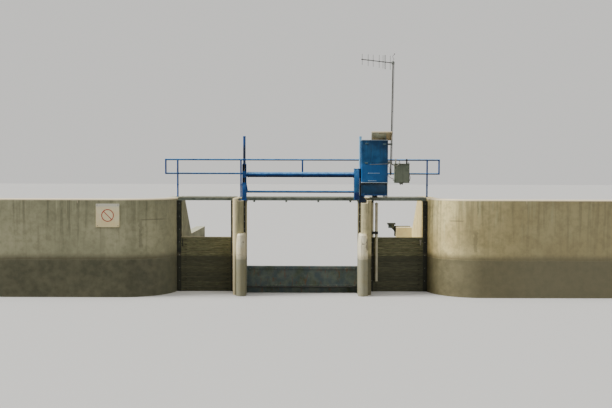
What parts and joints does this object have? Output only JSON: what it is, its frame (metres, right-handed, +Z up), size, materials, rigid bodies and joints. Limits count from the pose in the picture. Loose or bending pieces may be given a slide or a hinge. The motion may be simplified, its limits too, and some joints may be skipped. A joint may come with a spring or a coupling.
{
  "type": "canal sluice gate check structure",
  "caption": "Irrigation canal check structure: overshot sluice gate between two piers, stoplogged side bays, footbridge, blue motor-driven hoist, control box and antenna mast.",
  "frame": {"origin": "centre of the footprint at the level of the canal bed", "axes": "+X to the right looking downstream, along the wing walls; +Y downstream; +Z up"},
  "size_m": [16.8, 7.3, 6.6103],
  "materials": {
    "concrete": "weathered cast concrete, water-stained low down",
    "nose_white": "weathered white facing",
    "guide_steel": "dark coated steel",
    "gate_steel": "coated steel, stained at the waterline",
    "log_timber": "weathered wet timber",
    "stem_steel": "greased threaded steel",
    "galvanised": "galvanised steel, dull",
    "blue_paint": "weathered blue paint",
    "cover_paint": "dark blue paint with a bright edge",
    "case_paint": "light blue paint",
    "deep_blue_paint": "faded dark blue paint with streaks",
    "dark_fitting": "black clamp",
    "conduit_grey": "grey flexible conduit",
    "cable_black": "black cable sheath",
    "panel_frame": "dull anodised frame and backing sheet",
    "mast_steel": "galvanised pipe",
    "antenna_alloy": "weathered alloy",
    "box_paint": "grey enamel",
    "sign_white": "white sheet with a red ring and bar",
    "pipe_plastic": "grey-white plastic pipe",
    "sensor_case": "dark grey-green case"
  },
  "bodies": {
    "structure": {"left_wing_wall": "concrete", "right_wing_wall": "concrete", "left_curved_wall": "concrete", "right_curved_wall": "concrete", "left_abutment": "concrete", "right_abutment": "concrete", "cross_block": "concrete", "left_pier": "concrete", "right_pier": "concrete", "left_pier_nose": "nose_white", "right_pier_nose": "nose_white", "left_gate_guide": "guide_steel", "right_gate_guide": "guide_steel", "gate_bulkhead": "gate_steel", "bay_guides": "guide_steel", "left_stoplogs": "log_timber", "right_stoplogs": "log_timber", "deck_ledgers": "galvanised", "left_deck_frame": "galvanised", "centre_deck_frame": "galvanised", "right_deck_frame": "galvanised", "left_grating": "galvanised", "centre_grating": "galvanised", "right_grating": "galvanised", "top_rail": "blue_paint", "mid_rail": "blue_paint", "rail_posts": "blue_paint", "rail_uprights": "blue_paint", "left_column": "blue_paint", "left_head": "blue_paint", "left_lift": "guide_steel", "right_lift": "guide_steel", "shaft_guard": "blue_paint", "tie_tube": "blue_paint", "left_stem_cover": "cover_paint", "right_stem_cover": "cover_paint", "drive_end_case": "case_paint", "drive_hood": "deep_blue_paint", "drive_base": "deep_blue_paint", "drive_bracket": "cover_paint", "drive_foot": "dark_fitting", "drive_duct": "galvanised", "box_conduit": "conduit_grey", "box_cable": "cable_black", "mast_cable": "cable_black", "solar_panel": "panel_frame", "panel_stand": "galvanised", "antenna_mast": "mast_steel", "mast_clamps": "galvanised", "antenna": "antenna_alloy", "control_box": "box_paint", "box_struts": "galvanised", "sign_board": "sign_white", "stilling_pipes": "pipe_plastic", "pipe_clamp": "dark_fitting", "level_sensor": "sensor_case"},
    "gate": {"gate_leaf": "gate_steel", "left_stem": "stem_steel", "right_stem": "stem_steel"}
  },
  "joints": [
    {"name": "gate_lift", "type": "slide", "parent": "structure", "child": "gate", "axis": [0, 0, 1], "range_m": [-0.13, 0.39]}
  ]
}
